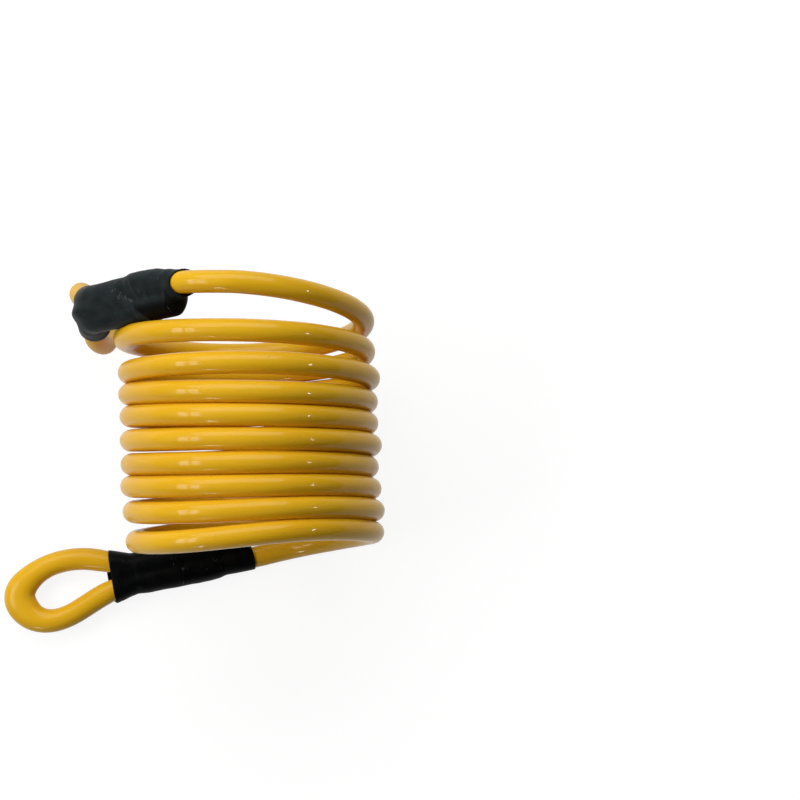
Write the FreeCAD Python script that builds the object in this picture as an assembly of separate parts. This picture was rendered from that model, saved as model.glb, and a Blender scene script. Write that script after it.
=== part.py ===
import FreeCAD, Part
import math
import os
from FreeCAD import Vector

# A coiled security cable with an eye at each end, lying on its side on a floor at z = 0.
# All sizes are in millimetres. The coil's axis runs along Y. Seen from above, the cable leaves the
# upper end's sleeve at the left, passes over the top to the right, goes down to the floor and comes
# back up at the left, and each turn lies nearer to the lower end, at low Y.

# Cable: a steel wire rope in a plastic jacket.
cable_diameter = 10.0
rope_diameter = 7.0
rope_clearance = 0.1

# Coil. The first turn starts at the upper sleeve, and whole turns are counted from the coil's top.
coil_radius = 57.0
turn_gap = 0.48
whole_turns = 9
floor_flat = 0.5
# How far each of the first turns is lifted towards the upper end near the top, and at what angle.
top_lifts = ((13.6, -18), (5.6, 8), (4.2, 0))
# The first turns stand this much further from the rest.
first_turn_opening = 4.0
# From the second turn on, the floor side is drawn this far towards the upper end.
floor_draw = 2.6
# The last turns lean open on the left.
last_turn_opening = 6.8
last_turn_lean_from = 4.0
# The last turn rides over the lower sleeve there.
last_turn_rise = 7.5
# The turns aren't quite flat: the floor side of each lies nearer to the lower end than its top.
turn_tilt = 2.8
turn_twist = 1.0
turn_fold = 1.4
# From the third turn on, the sides sit this much nearer to the lower end.
side_sag = 1.2
# The coil's axis bends a little to the right towards the lower end.
axis_bend = 4.0

# Swaged ferrule: one bore for the rope that comes from the coil, one for the rope's cut end.
ferrule_length = 32.0
ferrule_wall = 2.6
rope_spacing = 7.7
bore_clearance = 0.05
ferrule_edge_radius = 1.5
ferrule_valley_radius = 3.0
# The rope's cut end stands out of the ferrule: as a tail at the lower end, barely at the upper.
lower_tail = 14.0
upper_tail = 1.0

# Heat-shrink sleeve, from its mouth on the single cable to its flare round the eye's two arms.
# The ferrule is this far inside the mouth. At the upper end it is close to it.
lower_mouth_length = 21.5
upper_mouth_length = 6.5
shrink_wall = 0.8
shrink_clearance = 0.12
mouth_flat = 0.4
flare_length = 12.5
flare_clearance = 0.35
jacket_to_cut_end = 1.5
step_clearance = 0.5
step_length = 4.0
neck_depth = 0.5
# The sleeve sinks between the ferrule's two barrels and runs flat past them.
sleeve_valley_radius = 2.0
# The two ropes part, and bend down, at an elbow outside the ferrule.
lower_elbow_distance = 6.5
upper_elbow_distance = 21.5
bend_reach = 6.2
# The eye's jacket starts this far past the elbow, where its two ends clear each other.
eye_jacket_start = 5.0
jacket_lead = 0.8

# Ends. The lower end lies on the floor. The upper one leaves the top of the coil in a tighter bend
# and leans down, and its eye hangs free.
lower_mouth_x = 0.8
lower_mouth_drop = 13.4
lower_heading = math.radians(11.5)
upper_bend_radius = 44.0
upper_lean = math.radians(36)
upper_mouth_rise = 1.3
upper_heading = math.radians(7)
upper_roll = math.radians(9)
upper_eye_hang = math.radians(86)

# The eye's route, as distances past the elbow and across it from the coil's rope, on the way from
# that rope to its cut end.
eye_route = (
    (27.0, -9.6),
    (45.5, -14.9),
    (59.5, -8.5),
    (62.5, 6.5),
    (50.0, 16.6),
    (28.5, 16.8),
)
tangent_share = 0.45
# The upper eye is a little narrower than the lower one and leans towards the coil.
upper_eye_width = 0.87
upper_eye_lean = 0.1

pitch = cable_diameter + turn_gap
cable_radius = cable_diameter / 2
rope_radius = rope_diameter / 2
bore_radius = rope_radius + rope_clearance
axis_height = cable_radius + coil_radius - floor_flat
ferrule_radius = rope_radius + bore_clearance + ferrule_wall
sleeve_half_height = ferrule_radius + shrink_clearance + shrink_wall


def blend(value, start, end):
    """0 before start, 1 after end, and a smooth rise between them."""
    share = min(max((value - start) / (end - start), 0), 1)
    return share * share * (3 - 2 * share)


def coil_point(turn):
    """The cable's centre, turn whole turns after it first passes over the top."""
    phase = 2 * math.pi * turn
    nearest = round(turn)
    lift, angle = top_lifts[nearest] if 0 <= nearest < len(top_lifts) else (0, 0)
    over_top = ((1 + math.cos(phase - math.radians(angle))) / 2) ** 2
    on_floor = ((1 - math.cos(phase)) / 2) ** 2
    on_left = ((1 - math.sin(phase)) / 2) ** 3
    late = max(turn - last_turn_lean_from, 0) / (whole_turns - 0.25 - last_turn_lean_from)
    y = -pitch * turn
    y += lift * over_top
    y += first_turn_opening * (1 - blend(turn, 0.25, 1.2))
    y += floor_draw * on_floor * blend(turn, 0.5, 1.5)
    y += turn_tilt * math.cos(phase) + turn_twist * math.sin(phase)
    y -= turn_fold * math.cos(2 * phase)
    y -= side_sag * math.sin(phase) ** 2 * blend(turn, 1, 2)
    y -= last_turn_opening * late ** 3 * on_left
    x = axis_bend * (turn / whole_turns) ** 2
    z = axis_height + last_turn_rise * late ** 3 * on_left
    return Vector(x + coil_radius * math.sin(phase), y, z + coil_radius * math.cos(phase))


def coil_heading(turn):
    """The direction of the cable there, towards the lower end."""
    step = 0.001
    return (coil_point(turn + step) - coil_point(turn - step)).normalize()


class End:
    """One end of the cable: where its sleeve's mouth is, and how the sleeve and eye lie.

    Inside, distances from the mouth say where the ferrule, the cut end and the elbow are."""

    def __init__(self, mouth, along, across, droop, inside, eye_width=1.0, eye_lean=0.0):
        self.eye_route = [
            (s, rope_spacing / 2 + (w - rope_spacing / 2) * eye_width + eye_lean * s)
            for s, w in eye_route
        ]
        mouth_length, tail, elbow_distance = inside
        self.ferrule_start = mouth_length
        self.ferrule_end = mouth_length + ferrule_length
        self.ferrule_middle = (self.ferrule_start + self.ferrule_end) / 2
        self.cut_end = self.ferrule_start - tail
        self.elbow = self.ferrule_end + elbow_distance
        self.mouth = mouth
        self.along = along
        self.across = across
        self.up = across.cross(along).normalize()
        if self.up.z < 0:
            self.up = self.up * -1
        self.droop = droop

    def corner(self, offset):
        """Where the straight runs before and after the elbow would meet."""
        return self.mouth + self.along * self.elbow + self.across * offset

    def place(self, distance, offset, height=0.0):
        """A point so far from the mouth, offset across towards the coil, and raised by height.

        The end is straight, but for an even bend at the elbow."""
        bend_start = self.elbow - bend_reach
        share = min(max((distance - bend_start) / (2 * bend_reach), 0), 1)
        turned = self.droop * share
        radius = bend_reach / math.tan(self.droop / 2)
        past = max(distance - self.elbow - bend_reach, 0)
        ahead = min(distance, bend_start) + (radius + height) * math.sin(turned)
        ahead += past * math.cos(turned)
        rise = (radius + height) * math.cos(turned) - radius - past * math.sin(turned)
        return self.mouth + self.along * ahead + self.across * offset + self.up * rise


def solve(function, low, high):
    """Where a rising function passes zero."""
    for _ in range(60):
        middle = (low + high) / 2
        if function(middle) < 0:
            low = middle
        else:
            high = middle
    return (low + high) / 2


def eye_points(end):
    """The eye's route in space, from the ferrule's middle round to the rope's cut end."""
    points = [end.place(end.ferrule_middle, 0), end.corner(0)]
    points += [end.place(end.elbow + s, w) for s, w in end.eye_route]
    points += [end.corner(rope_spacing), end.place(end.cut_end, rope_spacing)]
    return points


def rounded(points):
    """Straight runs through the points, joined by tangent arcs. Returns edges and radii.

    The first and last corners are the elbows, whose arcs stay clear of the ferrule."""
    edges, radii = [], []
    here = points[0]
    for n in range(1, len(points) - 1):
        before, corner, after = points[n - 1:n + 2]
        arriving = (corner - before).normalize()
        leaving = (after - corner).normalize()
        half_turn = arriving.getAngle(leaving) / 2
        reach = tangent_share * min((corner - before).Length, (after - corner).Length)
        if n in (1, len(points) - 2):
            reach = bend_reach
        start = corner - arriving * reach
        finish = corner + leaving * reach
        weight = math.cos(half_turn)
        middle = (start + corner * (2 * weight) + finish) / (2 * (1 + weight))
        edges.append(Part.LineSegment(here, start).toShape())
        edges.append(Part.Arc(start, middle, finish).toShape())
        radii.append(reach / math.tan(half_turn))
        here = finish
    edges.append(Part.LineSegment(here, points[-1]).toShape())
    return edges, radii


def eye_wire(end):
    return Part.Wire(rounded(eye_points(end))[0])


def lowest_of_eye(end):
    """How high the eye's jacket is above the floor."""
    return min(p.z for p in eye_wire(end).discretize(Number=400)) - cable_radius


def biarc(start, start_heading, finish, finish_heading):
    """Two arcs that leave start and reach finish in the given directions."""
    span = finish - start
    both = start_heading + finish_heading
    turn = 2 * (1 - start_heading.dot(finish_heading))
    ahead = span.dot(both)
    if turn < 1e-9:
        reach = span.Length ** 2 / (4 * span.dot(finish_heading))
    else:
        reach = (math.sqrt(ahead * ahead + turn * span.Length ** 2) - ahead) / turn
    first = start + start_heading * reach
    second = finish - finish_heading * reach
    middle = (first + second) / 2
    edges = []
    for a, corner, b in ((start, first, middle), (middle, second, finish)):
        weight = (b - a).Length / (2 * reach)
        on_arc = (a + corner * (2 * weight) + b) / (2 * (1 + weight))
        edges.append(Part.Arc(a, on_arc, b).toShape())
    return edges


def upper_end():
    """The upper end, past a bend that starts where the coil first passes over the top."""
    mouth = coil_point(0) + Vector(
        -upper_bend_radius * math.sin(upper_lean),
        upper_mouth_rise,
        -upper_bend_radius * (1 - math.cos(upper_lean)),
    )
    level = math.cos(upper_lean)
    along = Vector(
        -level * math.cos(upper_heading), -level * math.sin(upper_heading), -math.sin(upper_lean)
    )
    sideways = Vector(0, -1, 0)
    across = (sideways - along * sideways.dot(along)).normalize()
    side = across.cross(along)
    across = across * math.cos(upper_roll) + side * math.sin(upper_roll)
    droop = upper_eye_hang - upper_lean
    inside = (upper_mouth_length, upper_tail, upper_elbow_distance)
    return End(mouth, along, across, droop, inside, upper_eye_width, upper_eye_lean)


def lower_end(droop):
    """The lower end, lying on the floor with its eye drooping a little to meet it."""
    right = coil_point(whole_turns + 0.25)
    mouth = Vector(lower_mouth_x, right.y - lower_mouth_drop, sleeve_half_height)
    along = Vector(-math.cos(lower_heading), -math.sin(lower_heading), 0)
    across = Vector(-math.sin(lower_heading), math.cos(lower_heading), 0)
    inside = (lower_mouth_length, lower_tail, lower_elbow_distance)
    return End(mouth, along, across, droop, inside)


upper = upper_end()
droop = solve(lambda a: -lowest_of_eye(lower_end(a)), math.radians(0.1), math.radians(20))
lower = lower_end(droop)


def coil_edges():
    """The coil from mouth to mouth: the first and last stretches, and quarter turns between."""
    quarters = [n / 4 for n in range(0, 4 * whole_turns + 2)]
    stations = [(upper.mouth, upper.along * -1)]
    stations += [(coil_point(t), coil_heading(t)) for t in quarters]
    stations.append((lower.mouth, lower.along))
    edges = []
    for (a, heading_a), (b, heading_b) in zip(stations, stations[1:]):
        edges += biarc(a, heading_a, b, heading_b)
    return edges


def spine(upper_reach, lower_reach):
    """The coil's route with a straight run of this length into each sleeve."""
    first = Part.LineSegment(upper.mouth + upper.along * upper_reach, upper.mouth).toShape()
    last = Part.LineSegment(lower.mouth, lower.mouth + lower.along * lower_reach).toShape()
    return Part.Wire([first] + coil_edges() + [last])


def circle_at(wire, radius):
    """A circle square to the start of a wire."""
    edge = wire.OrderedEdges[0]
    start = wire.OrderedVertexes[0].Point
    heading = edge.tangentAt(edge.FirstParameter)
    return Part.Wire(Part.makeCircle(radius, start, heading))


def rod(wire, radius):
    return wire.makePipeShell([circle_at(wire, radius)], True, False)


def tube(wire, outer, inner):
    """A hollow tube along a wire, closed by a flat ring at each end."""
    return rod(wire, outer).cut(rod(wire, inner))


def coil_jacket():
    """The coil's jacket, cut flat where it meets the floor."""
    wire = spine(upper.cut_end - jacket_to_cut_end, lower.cut_end - jacket_to_cut_end)
    jacket = tube(wire, cable_radius, bore_radius)
    box = jacket.BoundBox
    margin = cable_diameter
    under = Part.makeBox(
        box.XLength + 2 * margin,
        box.YLength + 2 * margin,
        cable_diameter,
        Vector(box.XMin - margin, box.YMin - margin, -cable_diameter),
    )
    return jacket.cut(under)


def coil_rope():
    return rod(spine(upper.ferrule_middle, lower.ferrule_middle), rope_radius)


def eye_rope(end):
    return rod(eye_wire(end), rope_radius)


def trimmed(edges, from_start, from_end):
    """A chain of edges without its first and last stretches of these lengths."""
    kept = []
    total = sum(edge.Length for edge in edges)
    here = 0
    for edge in edges:
        low = max(from_start - here, 0)
        high = min(total - from_end - here, edge.Length)
        here += edge.Length
        if high - low == edge.Length:
            kept.append(edge)
        elif high > low:
            ends = [edge.getParameterByLength(length) for length in (low, high)]
            kept.append(edge.Curve.toShape(*ends))
    return kept


def eye_jacket(end):
    """The eye's jacket, which starts and ends a little outside the ferrule."""
    jacket_start = end.elbow + eye_jacket_start
    edges = trimmed(
        rounded(eye_points(end))[0], jacket_start - end.ferrule_middle, jacket_start - end.cut_end
    )
    return tube(Part.Wire(edges), cable_radius, bore_radius)


def oblong(end, distance, low, high, half_height, valley_radius=0):
    """A closed outline across an end, from offset low to high, with round sides.

    Its two long sides are straight, or sink between the round sides in arcs of valley_radius."""
    r = half_height
    left, right = low + r, high - r
    middle = (left + right) / 2
    lean = math.asin((right - left) / 2 / (r + valley_radius)) if valley_radius else 0
    valley = (r + valley_radius) * math.cos(lean) - valley_radius
    edges = []
    for side in (1, -1):
        near, far = (left, right) if side > 0 else (right, left)
        top = [
            end.place(distance, near + side * r * math.sin(lean), side * r * math.cos(lean)),
            end.place(distance, middle, side * valley),
            end.place(distance, far - side * r * math.sin(lean), side * r * math.cos(lean)),
        ]
        edge = Part.Arc(*top) if valley_radius else Part.LineSegment(top[0], top[2])
        edges.append(edge.toShape())
        quarter = math.pi / 2 + lean
        for start in (quarter, 0):
            turned = [start - share * quarter for share in (0, 0.5, 1)]
            arc = [
                end.place(distance, far + side * r * math.cos(a), side * r * math.sin(a))
                for a in turned
            ]
            edges.append(Part.Arc(*arc).toShape())
    return Part.Wire(edges)


def sleeve_sections(end, extra):
    """The sleeve's outlines, grown by extra: (distance, lowest offset, highest, half height).

    A fifth value is the radius of the valleys between the ferrule's barrels."""
    cable = cable_radius + shrink_clearance + extra
    ferrule = ferrule_radius + shrink_clearance + extra
    rope = rope_radius + shrink_clearance + extra
    neck = ferrule - neck_depth
    (out_a, off_a), (out_b, off_b) = end.eye_route[0], end.eye_route[-1]
    spread_a = off_a / out_a
    spread_b = (off_b - rope_spacing) / out_b
    single = (-cable - mouth_flat / 2, cable + mouth_flat / 2, cable)
    with_tail = (-cable - mouth_flat / 2, rope_spacing + rope, cable)
    with_ferrule = (-ferrule, rope_spacing + ferrule, ferrule)
    valley = sleeve_valley_radius - extra
    step_end = end.cut_end - step_clearance
    sections = [(0, *single), (step_end - step_length, *single)]
    if end.ferrule_start - end.cut_end > step_length:
        sections.append((step_end, *with_tail))
        step_end = end.ferrule_start - step_clearance
        sections.append((step_end - step_length, *with_tail))
    sections.append((step_end, *with_ferrule, valley))
    bend_start = end.elbow - bend_reach
    if bend_start - end.ferrule_end > step_length:
        sections.append((end.ferrule_end, *with_ferrule, valley))
        sections.append((end.ferrule_end + step_length, *with_ferrule))
        sections.append((bend_start, *with_ferrule))
    else:
        sections.append((bend_start, *with_ferrule, valley))
    sections += [
        (end.elbow - bend_reach / 2, *with_ferrule),
        (end.elbow, -neck, rope_spacing + neck, neck),
    ]
    for past in (eye_jacket_start - jacket_lead, bend_reach, flare_length):
        reach = cable + flare_clearance
        low = spread_a * past - reach * math.hypot(1, spread_a)
        high = rope_spacing + spread_b * past + reach * math.hypot(1, spread_b)
        sections.append((end.elbow + past, low, high, reach))
    return sections


def sleeve(end):
    """The heat-shrink sleeve: a thin skin over the single cable, the ferrule and the eye's arms."""
    solids = []
    for extra in (shrink_wall, 0):
        wires = [oblong(end, *section) for section in sleeve_sections(end, extra)]
        solids.append(Part.makeLoft(wires, True, True))
    return solids[0].cut(solids[1])


def ferrule(end):
    """The ferrule: a barrel round each rope, the two pressed into one, with round rims."""
    starts = [end.place(end.ferrule_start, offset) for offset in (0, rope_spacing)]
    barrels = [
        Part.makeCylinder(ferrule_radius, ferrule_length, start, end.along) for start in starts
    ]
    block = barrels[0].fuse(barrels[1]).removeSplitter()

    def runs_along(edge):
        """True for an edge from one end face to the other."""
        first, last = edge.Vertexes[0].Point, edge.Vertexes[-1].Point
        return abs((last - first).dot(end.along)) > ferrule_length / 2

    def between_barrels(edge):
        """True for an edge in the plane halfway between the two ropes."""
        offset = (edge.Vertexes[0].Point - starts[0]).dot(end.across)
        return abs(offset - rope_spacing / 2) < ferrule_edge_radius

    valleys = [e for e in block.Edges if runs_along(e) and between_barrels(e)]
    block = block.makeFillet(ferrule_valley_radius, valleys)
    block = block.makeFillet(ferrule_edge_radius, [e for e in block.Edges if not runs_along(e)])
    for start in starts:
        bore = Part.makeCylinder(
            rope_radius + bore_clearance, ferrule_length, start, end.along
        )
        block = block.cut(bore)
    return block


def least_gap(points, diameter, skip):
    """The least distance between the cable's surfaces, from points spread along it."""
    least = min(
        (p - q).Length for i, p in enumerate(points) for q in points[i + skip:]
    )
    return least - diameter


nodes = {
    "coil_jacket": coil_jacket(),
    "coil_rope": coil_rope(),
}
for name, end in (("lower", lower), ("upper", upper)):
    nodes[name + "_eye_jacket"] = eye_jacket(end)
    nodes[name + "_eye_rope"] = eye_rope(end)
    nodes[name + "_ferrule"] = ferrule(end)
    nodes[name + "_sleeve"] = sleeve(end)

# The origin is on the floor, in the middle of what the cable covers.
box = FreeCAD.BoundBox()
for shape in nodes.values():
    box.add(shape.optimalBoundingBox(False, False))
shift = Vector(-round(box.Center.x, 1), -round(box.Center.y, 1), 0)

os.makedirs("parts", exist_ok=True)
for name, shape in nodes.items():
    shape = shape.translated(shift)
    shape.exportStep("parts/%s.step" % name)
    print("%s: %d solid, valid %s, %.1f mm3" % (
        name, len(shape.Solids), shape.isValid(), shape.Volume))

print("origin shift", shift, "box", box)
print("droop of the lower eye %.2f deg, upper eye's height above the floor %.2f mm" % (
    math.degrees(droop), lowest_of_eye(upper)))
print("mouths", upper.mouth + shift, lower.mouth + shift)
for name, end in (("lower", lower), ("upper", upper)):
    print(name, "eye radii", [round(r, 1) for r in rounded(eye_points(end))[1]])
coil = spine(0.1, 0.1)
wound = coil.discretize(Distance=1.0)
print("coil's least gap to itself %.3f mm" % least_gap(wound, cable_diameter, 60))
print("coil's length %.0f mm" % coil.Length)
for name, wire, area in (
    ("coil_rope", spine(upper.ferrule_middle, lower.ferrule_middle), math.pi * rope_radius ** 2),
    ("lower_eye_rope", eye_wire(lower), math.pi * rope_radius ** 2),
    ("upper_eye_rope", eye_wire(upper), math.pi * rope_radius ** 2),
):
    print("%s: volume over section times length %.5f" % (
        name, nodes[name].Volume / (area * wire.Length)))
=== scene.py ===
# %% [markdown]
# # A coiled security cable
#
# The real object is a steel wire rope in a yellow vinyl jacket, wound into a coil that springs back
# when it is let go. Each end is folded back into an eye, gripped by a swaged ferrule and covered by
# a black heat-shrink sleeve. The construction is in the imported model, which this script loads as a
# fixed frame. The cells below give it its looks.
#
# Everything is in metres. The coil's axis runs along Y, and the floor is at z = 0.

# %% Load the frame
import math

import bpy
import numpy as np
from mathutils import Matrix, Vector, noise


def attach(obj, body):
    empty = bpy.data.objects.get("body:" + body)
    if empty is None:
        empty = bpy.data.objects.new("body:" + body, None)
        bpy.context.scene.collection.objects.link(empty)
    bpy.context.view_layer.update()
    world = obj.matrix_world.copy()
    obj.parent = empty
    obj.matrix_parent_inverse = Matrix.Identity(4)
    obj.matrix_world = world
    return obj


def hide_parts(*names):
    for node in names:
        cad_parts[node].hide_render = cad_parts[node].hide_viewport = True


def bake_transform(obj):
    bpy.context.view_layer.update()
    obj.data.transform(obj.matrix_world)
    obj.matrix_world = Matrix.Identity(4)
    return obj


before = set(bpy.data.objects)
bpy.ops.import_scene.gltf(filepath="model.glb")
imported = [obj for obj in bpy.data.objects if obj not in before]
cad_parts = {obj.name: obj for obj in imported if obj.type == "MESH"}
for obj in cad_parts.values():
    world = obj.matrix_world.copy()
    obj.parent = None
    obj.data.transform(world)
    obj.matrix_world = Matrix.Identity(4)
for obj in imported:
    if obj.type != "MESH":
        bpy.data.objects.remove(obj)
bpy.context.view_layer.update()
print("nodes:", sorted(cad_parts))

# %% [markdown]
# ## The camera
#
# The photograph looks almost straight down on the coil, from about a metre, through a long lens.
# The near turns hide the far ones, so the distance matters: it was found by fitting the ends of
# each turn. A tilt of about two degrees puts the point under the camera below the picture's
# middle, so the lens needs no shift.

# %% Camera
PICTURE_WIDTH = 800
FOCAL_PIXELS = 2184
SENSOR_WIDTH_MM = 36
CAMERA_PLACE = (0.1017, -0.0150, 1.1015)
CAMERA_TILT = math.radians(2.36)

camera_data = bpy.data.cameras.new("camera")
camera_data.sensor_width = SENSOR_WIDTH_MM
camera_data.lens = SENSOR_WIDTH_MM * FOCAL_PIXELS / PICTURE_WIDTH
camera = bpy.data.objects.new("camera", camera_data)
camera.location = CAMERA_PLACE
camera.rotation_euler = (CAMERA_TILT, 0, 0)
bpy.context.scene.collection.objects.link(camera)
bpy.context.scene.camera = camera
print("lens: %.1f mm" % camera_data.lens)

# %% [markdown]
# ## The coil's route
#
# A neat helix would look machine-made. On the real cable the first turns stand open, the sides sag,
# and the last turn rides over the lower sleeve. One formula gives the centre of the cable after any
# number of turns, with a named size for each of those habits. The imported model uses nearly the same
# formula. Here the first turn also lies nearer to the next one where it passes the floor, and each
# turn stands a little out of line at its left and right, as measured in the photograph.

# %% Sizes of the coil
COIL_RADIUS = 0.057
PITCH = 0.01036
WHOLE_TURNS = 9
QUARTER = 0.25
AXIS_HEIGHT = 0.0615
COIL_START = Vector((0.0287, 0.0600, 0))

TOP_LIFTS = ((0.0149, -12), (0.0063, 8), (0.0032, 0))
FIRST_TURN_OPENING = 0.0040
FLOOR_DRAW = 0.0007
FIRST_FLOOR_PASS = 0.0027
LAST_TURN_OPENING = 0.0034
LAST_TURNS_FROM = 4
LAST_TURNS_RISE = 0.0075
LAST_TURNS_SPREAD = 0.0034
LAST_TURNS_SWAY = 0.0030
TURN_TILT = 0.0014
TURN_TWIST = 0.0010
TURN_FOLD = 0.0009
SIDE_SAG = 0.0013
AXIS_BEND = 0.0040

# The turns between which each of these habits grows or fades.
OPENING_FADES = (QUARTER, 1.2)
FLOOR_DRAW_GROWS = (0.5, 1.5)
FLOOR_PASS_FADES = (0.7, 1)
SIDE_SAG_GROWS = (1, 2)

LEFT_NUDGES = (
    (0, 0), (-0.0012, 0.0014), (0.0010, -0.0013), (0.0010, 0), (0.0014, -0.0001),
    (0.0011, -0.0006), (0.0011, -0.0006), (0.0005, 0.0006), (0.0013, 0.0008), (0.0024, -0.0003),
)
RIGHT_NUDGES = (
    -0.0015, -0.0011, 0.0010, -0.0002, -0.0004, 0.0008, -0.0012, -0.0006, 0.0002, -0.0009,
)


def ease(value, start=0.0, end=1.0):
    """0 before start, 1 after end, and a smooth rise between them."""
    share = min(max((value - start) / (end - start), 0), 1)
    return share * share * (3 - 2 * share)


def coil_point(turn, radius=COIL_RADIUS):
    """The cable's centre, turn whole turns after it first passes over the top."""
    phase = math.tau * turn
    nearest = round(turn)
    lift, angle = TOP_LIFTS[nearest] if 0 <= nearest < len(TOP_LIFTS) else (0, 0)
    over_top = ((1 + math.cos(phase - math.radians(angle))) / 2) ** 2
    on_floor = ((1 - math.cos(phase)) / 2) ** 2
    on_left = ((1 - math.sin(phase)) / 2) ** 3
    on_right = (1 + math.sin(phase)) / 2
    late = max(turn - LAST_TURNS_FROM, 0) / (WHOLE_TURNS - QUARTER - LAST_TURNS_FROM)
    y = -PITCH * turn + lift * over_top
    y += FIRST_TURN_OPENING * (1 - ease(turn, *OPENING_FADES))
    y += FLOOR_DRAW * on_floor * ease(turn, *FLOOR_DRAW_GROWS)
    y -= FIRST_FLOOR_PASS * on_floor ** 2 * (1 - ease(turn, *FLOOR_PASS_FADES))
    y += TURN_TILT * math.cos(phase) + TURN_TWIST * math.sin(phase)
    y -= TURN_FOLD * math.cos(2 * phase)
    y -= SIDE_SAG * math.sin(phase) ** 2 * ease(turn, *SIDE_SAG_GROWS)
    y -= LAST_TURN_OPENING * late ** 3 * on_left
    y -= LAST_TURNS_SPREAD * late * (1 - on_right)
    y += LAST_TURNS_SWAY * late ** 3 * math.sin(phase) * max(math.cos(phase), 0) ** 2
    x = AXIS_BEND * (turn / WHOLE_TURNS) ** 2 + radius * math.sin(phase)
    z = AXIS_HEIGHT + LAST_TURNS_RISE * late ** 3 * on_left + radius * math.cos(phase)
    left_x, left_y = LEFT_NUDGES[min(max(round(turn + QUARTER), 0), WHOLE_TURNS)]
    right_x = RIGHT_NUDGES[min(max(round(turn - QUARTER), 0), WHOLE_TURNS)]
    x += left_x * (1 - on_right) ** 2 + right_x * on_right ** 2
    y += left_y * (1 - on_right) ** 2
    return COIL_START + Vector((x, y, z))


print("top of the first turn:", [round(c, 4) for c in coil_point(0)])

# %% [markdown]
# ## The two ends
#
# Each end is a flat plane that starts at its sleeve's mouth. A point on it is so far from the mouth
# and so far across, towards the rope's cut end, and the plane bends once, at an elbow past the
# ferrule. The lower end lies on the floor. The upper one leans down from the coil's top, and its
# eye hangs. The upper ferrule is close to its sleeve's mouth. The lower one is further in, with a
# tail of rope beside the cable.

# %% Where the ends lie
FERRULE_LENGTH = 0.032
ROPE_SPACING = 0.0077
ELBOW = 0.0600
BEND_REACH = 0.0062
UPPER_BEND_RADIUS = 0.044
UPPER_LEAN = math.radians(36)
UPPER_EYE_HANG = math.radians(86)
UPPER_HEADING = math.radians(7)
UPPER_ROLL = math.radians(9)
UPPER_MOUTH = Vector((0.00284, 0.07964, 0.11010))
UPPER_CUT_END = 0.0055
UPPER_FERRULE_START = 0.0065
LOWER_MOUTH = Vector((0.02950, -0.04849, 0.00707))
LOWER_HEADING = math.radians(11.5)
LOWER_DROOP = math.radians(1.93)
LOWER_CUT_END = 0.0075
LOWER_FERRULE_START = 0.0215


class End:
    """One end of the cable: where its sleeve's mouth is, and how the sleeve and eye lie."""

    def __init__(self, mouth, along, across, droop, cut_end, ferrule_start):
        self.mouth = mouth
        self.along = along
        self.across = across
        up = across.cross(along).normalized()
        self.up = up if up.z > 0 else -up
        self.droop = droop
        self.cut_end = cut_end
        self.ferrule_start = ferrule_start
        self.ferrule_middle = ferrule_start + FERRULE_LENGTH / 2

    def place(self, distance, offset, height=0.0):
        """A point so far from the mouth, offset across, and raised by height."""
        bend_start = ELBOW - BEND_REACH
        turned = self.droop * min(max((distance - bend_start) / (2 * BEND_REACH), 0), 1)
        radius = BEND_REACH / math.tan(self.droop / 2)
        past = max(distance - ELBOW - BEND_REACH, 0)
        ahead = min(distance, bend_start) + (radius + height) * math.sin(turned)
        ahead += past * math.cos(turned)
        rise = (radius + height) * math.cos(turned) - radius - past * math.sin(turned)
        return self.mouth + self.along * ahead + self.across * offset + self.up * rise


def upper_end():
    """The end that leaves the coil's top. Its sleeve leans down and its eye hangs."""
    level = math.cos(UPPER_LEAN)
    sideways = -level * math.sin(UPPER_HEADING)
    along = Vector((-level * math.cos(UPPER_HEADING), sideways, -math.sin(UPPER_LEAN)))
    towards_coil = Vector((0, -1, 0))
    across = (towards_coil - along * towards_coil.dot(along)).normalized()
    across = across * math.cos(UPPER_ROLL) + across.cross(along) * math.sin(UPPER_ROLL)
    droop = UPPER_EYE_HANG - UPPER_LEAN
    return End(UPPER_MOUTH, along, across, droop, UPPER_CUT_END, UPPER_FERRULE_START)


def lower_end():
    """The end that lies flat on the floor."""
    along = Vector((-math.cos(LOWER_HEADING), -math.sin(LOWER_HEADING), 0))
    across = Vector((-math.sin(LOWER_HEADING), math.cos(LOWER_HEADING), 0))
    return End(LOWER_MOUTH, along, across, LOWER_DROOP, LOWER_CUT_END, LOWER_FERRULE_START)


upper = upper_end()
lower = lower_end()
print("mouths:", [round(c, 4) for c in upper.mouth], [round(c, 4) for c in lower.mouth])

# %% [markdown]
# ## A smooth line through the turns
#
# A NURBS line is drawn towards its control points but doesn't reach them, so the turns would come
# out a little small. With points an even angle apart the share that is lost is known, and the
# points are put that much further out. Blender then gives the points of the finished line, and
# every skin below follows those.

# %% The line of the cable
POINTS_PER_TURN = 24
THIRDS = (1, 2 / 3, 1 / 3)
LAST_QUARTER_POINTS = 6
DRAWN_LATE = 2.3


def pull(angle):
    """How near to its control points a quadratic line runs, when they stand this angle apart."""
    return (6 + 2 * math.cos(angle)) / 8


CONTROL_RADIUS = COIL_RADIUS / pull(math.tau / POINTS_PER_TURN)


def smooth_line(name, points, steps):
    """The points that Blender finds on a NURBS line with these control points."""
    curve = bpy.data.curves.new(name, "CURVE")
    curve.dimensions = "3D"
    curve.resolution_u = steps
    spline = curve.splines.new("NURBS")
    spline.points.add(len(points) - 1)
    for control, point in zip(spline.points, points):
        control.co = (*point, 1)
    spline.order_u = 3
    spline.use_endpoint_u = True
    holder = bpy.data.objects.new(name, curve)
    bpy.context.scene.collection.objects.link(holder)
    bpy.context.view_layer.update()
    found = bpy.data.meshes.new_from_object(holder)
    path = np.array([v.co for v in found.vertices], float)
    bpy.data.meshes.remove(found)
    bpy.data.objects.remove(holder)
    bpy.data.curves.remove(curve)
    return path


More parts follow.
